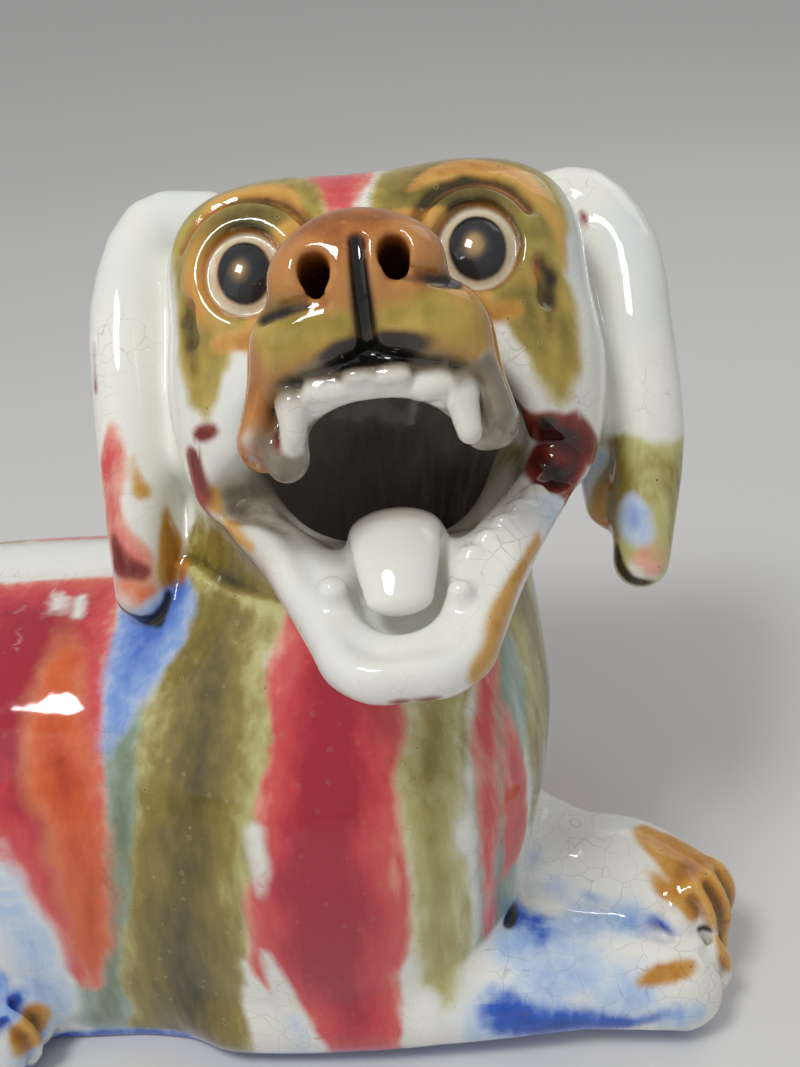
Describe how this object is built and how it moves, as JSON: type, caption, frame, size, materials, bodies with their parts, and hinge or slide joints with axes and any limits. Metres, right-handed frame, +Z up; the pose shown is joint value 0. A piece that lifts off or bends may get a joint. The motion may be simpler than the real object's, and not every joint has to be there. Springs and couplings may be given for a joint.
{
  "type": "porcelain dog figurine",
  "caption": "Lying dog cast in glazed porcelain, head turned to one side and tipped up, mouth wide open, long hanging ears, crossed front paws, flat underside.",
  "frame": {"origin": "point on the flat underside, below the middle of the trunk", "axes": "+X from the rump to the front paws, +Z up, the turned face looks along -Y and up"},
  "size_m": [0.3036, 0.1436, 0.1997],
  "materials": {
    "glazed_porcelain": "white porcelain under thick running glazes of red, olive, amber, celadon and cobalt blue, high gloss, finely crazed, with pinholes"
  },
  "bodies": {
    "root": {"dog": "glazed_porcelain"}
  },
  "joints": []
}
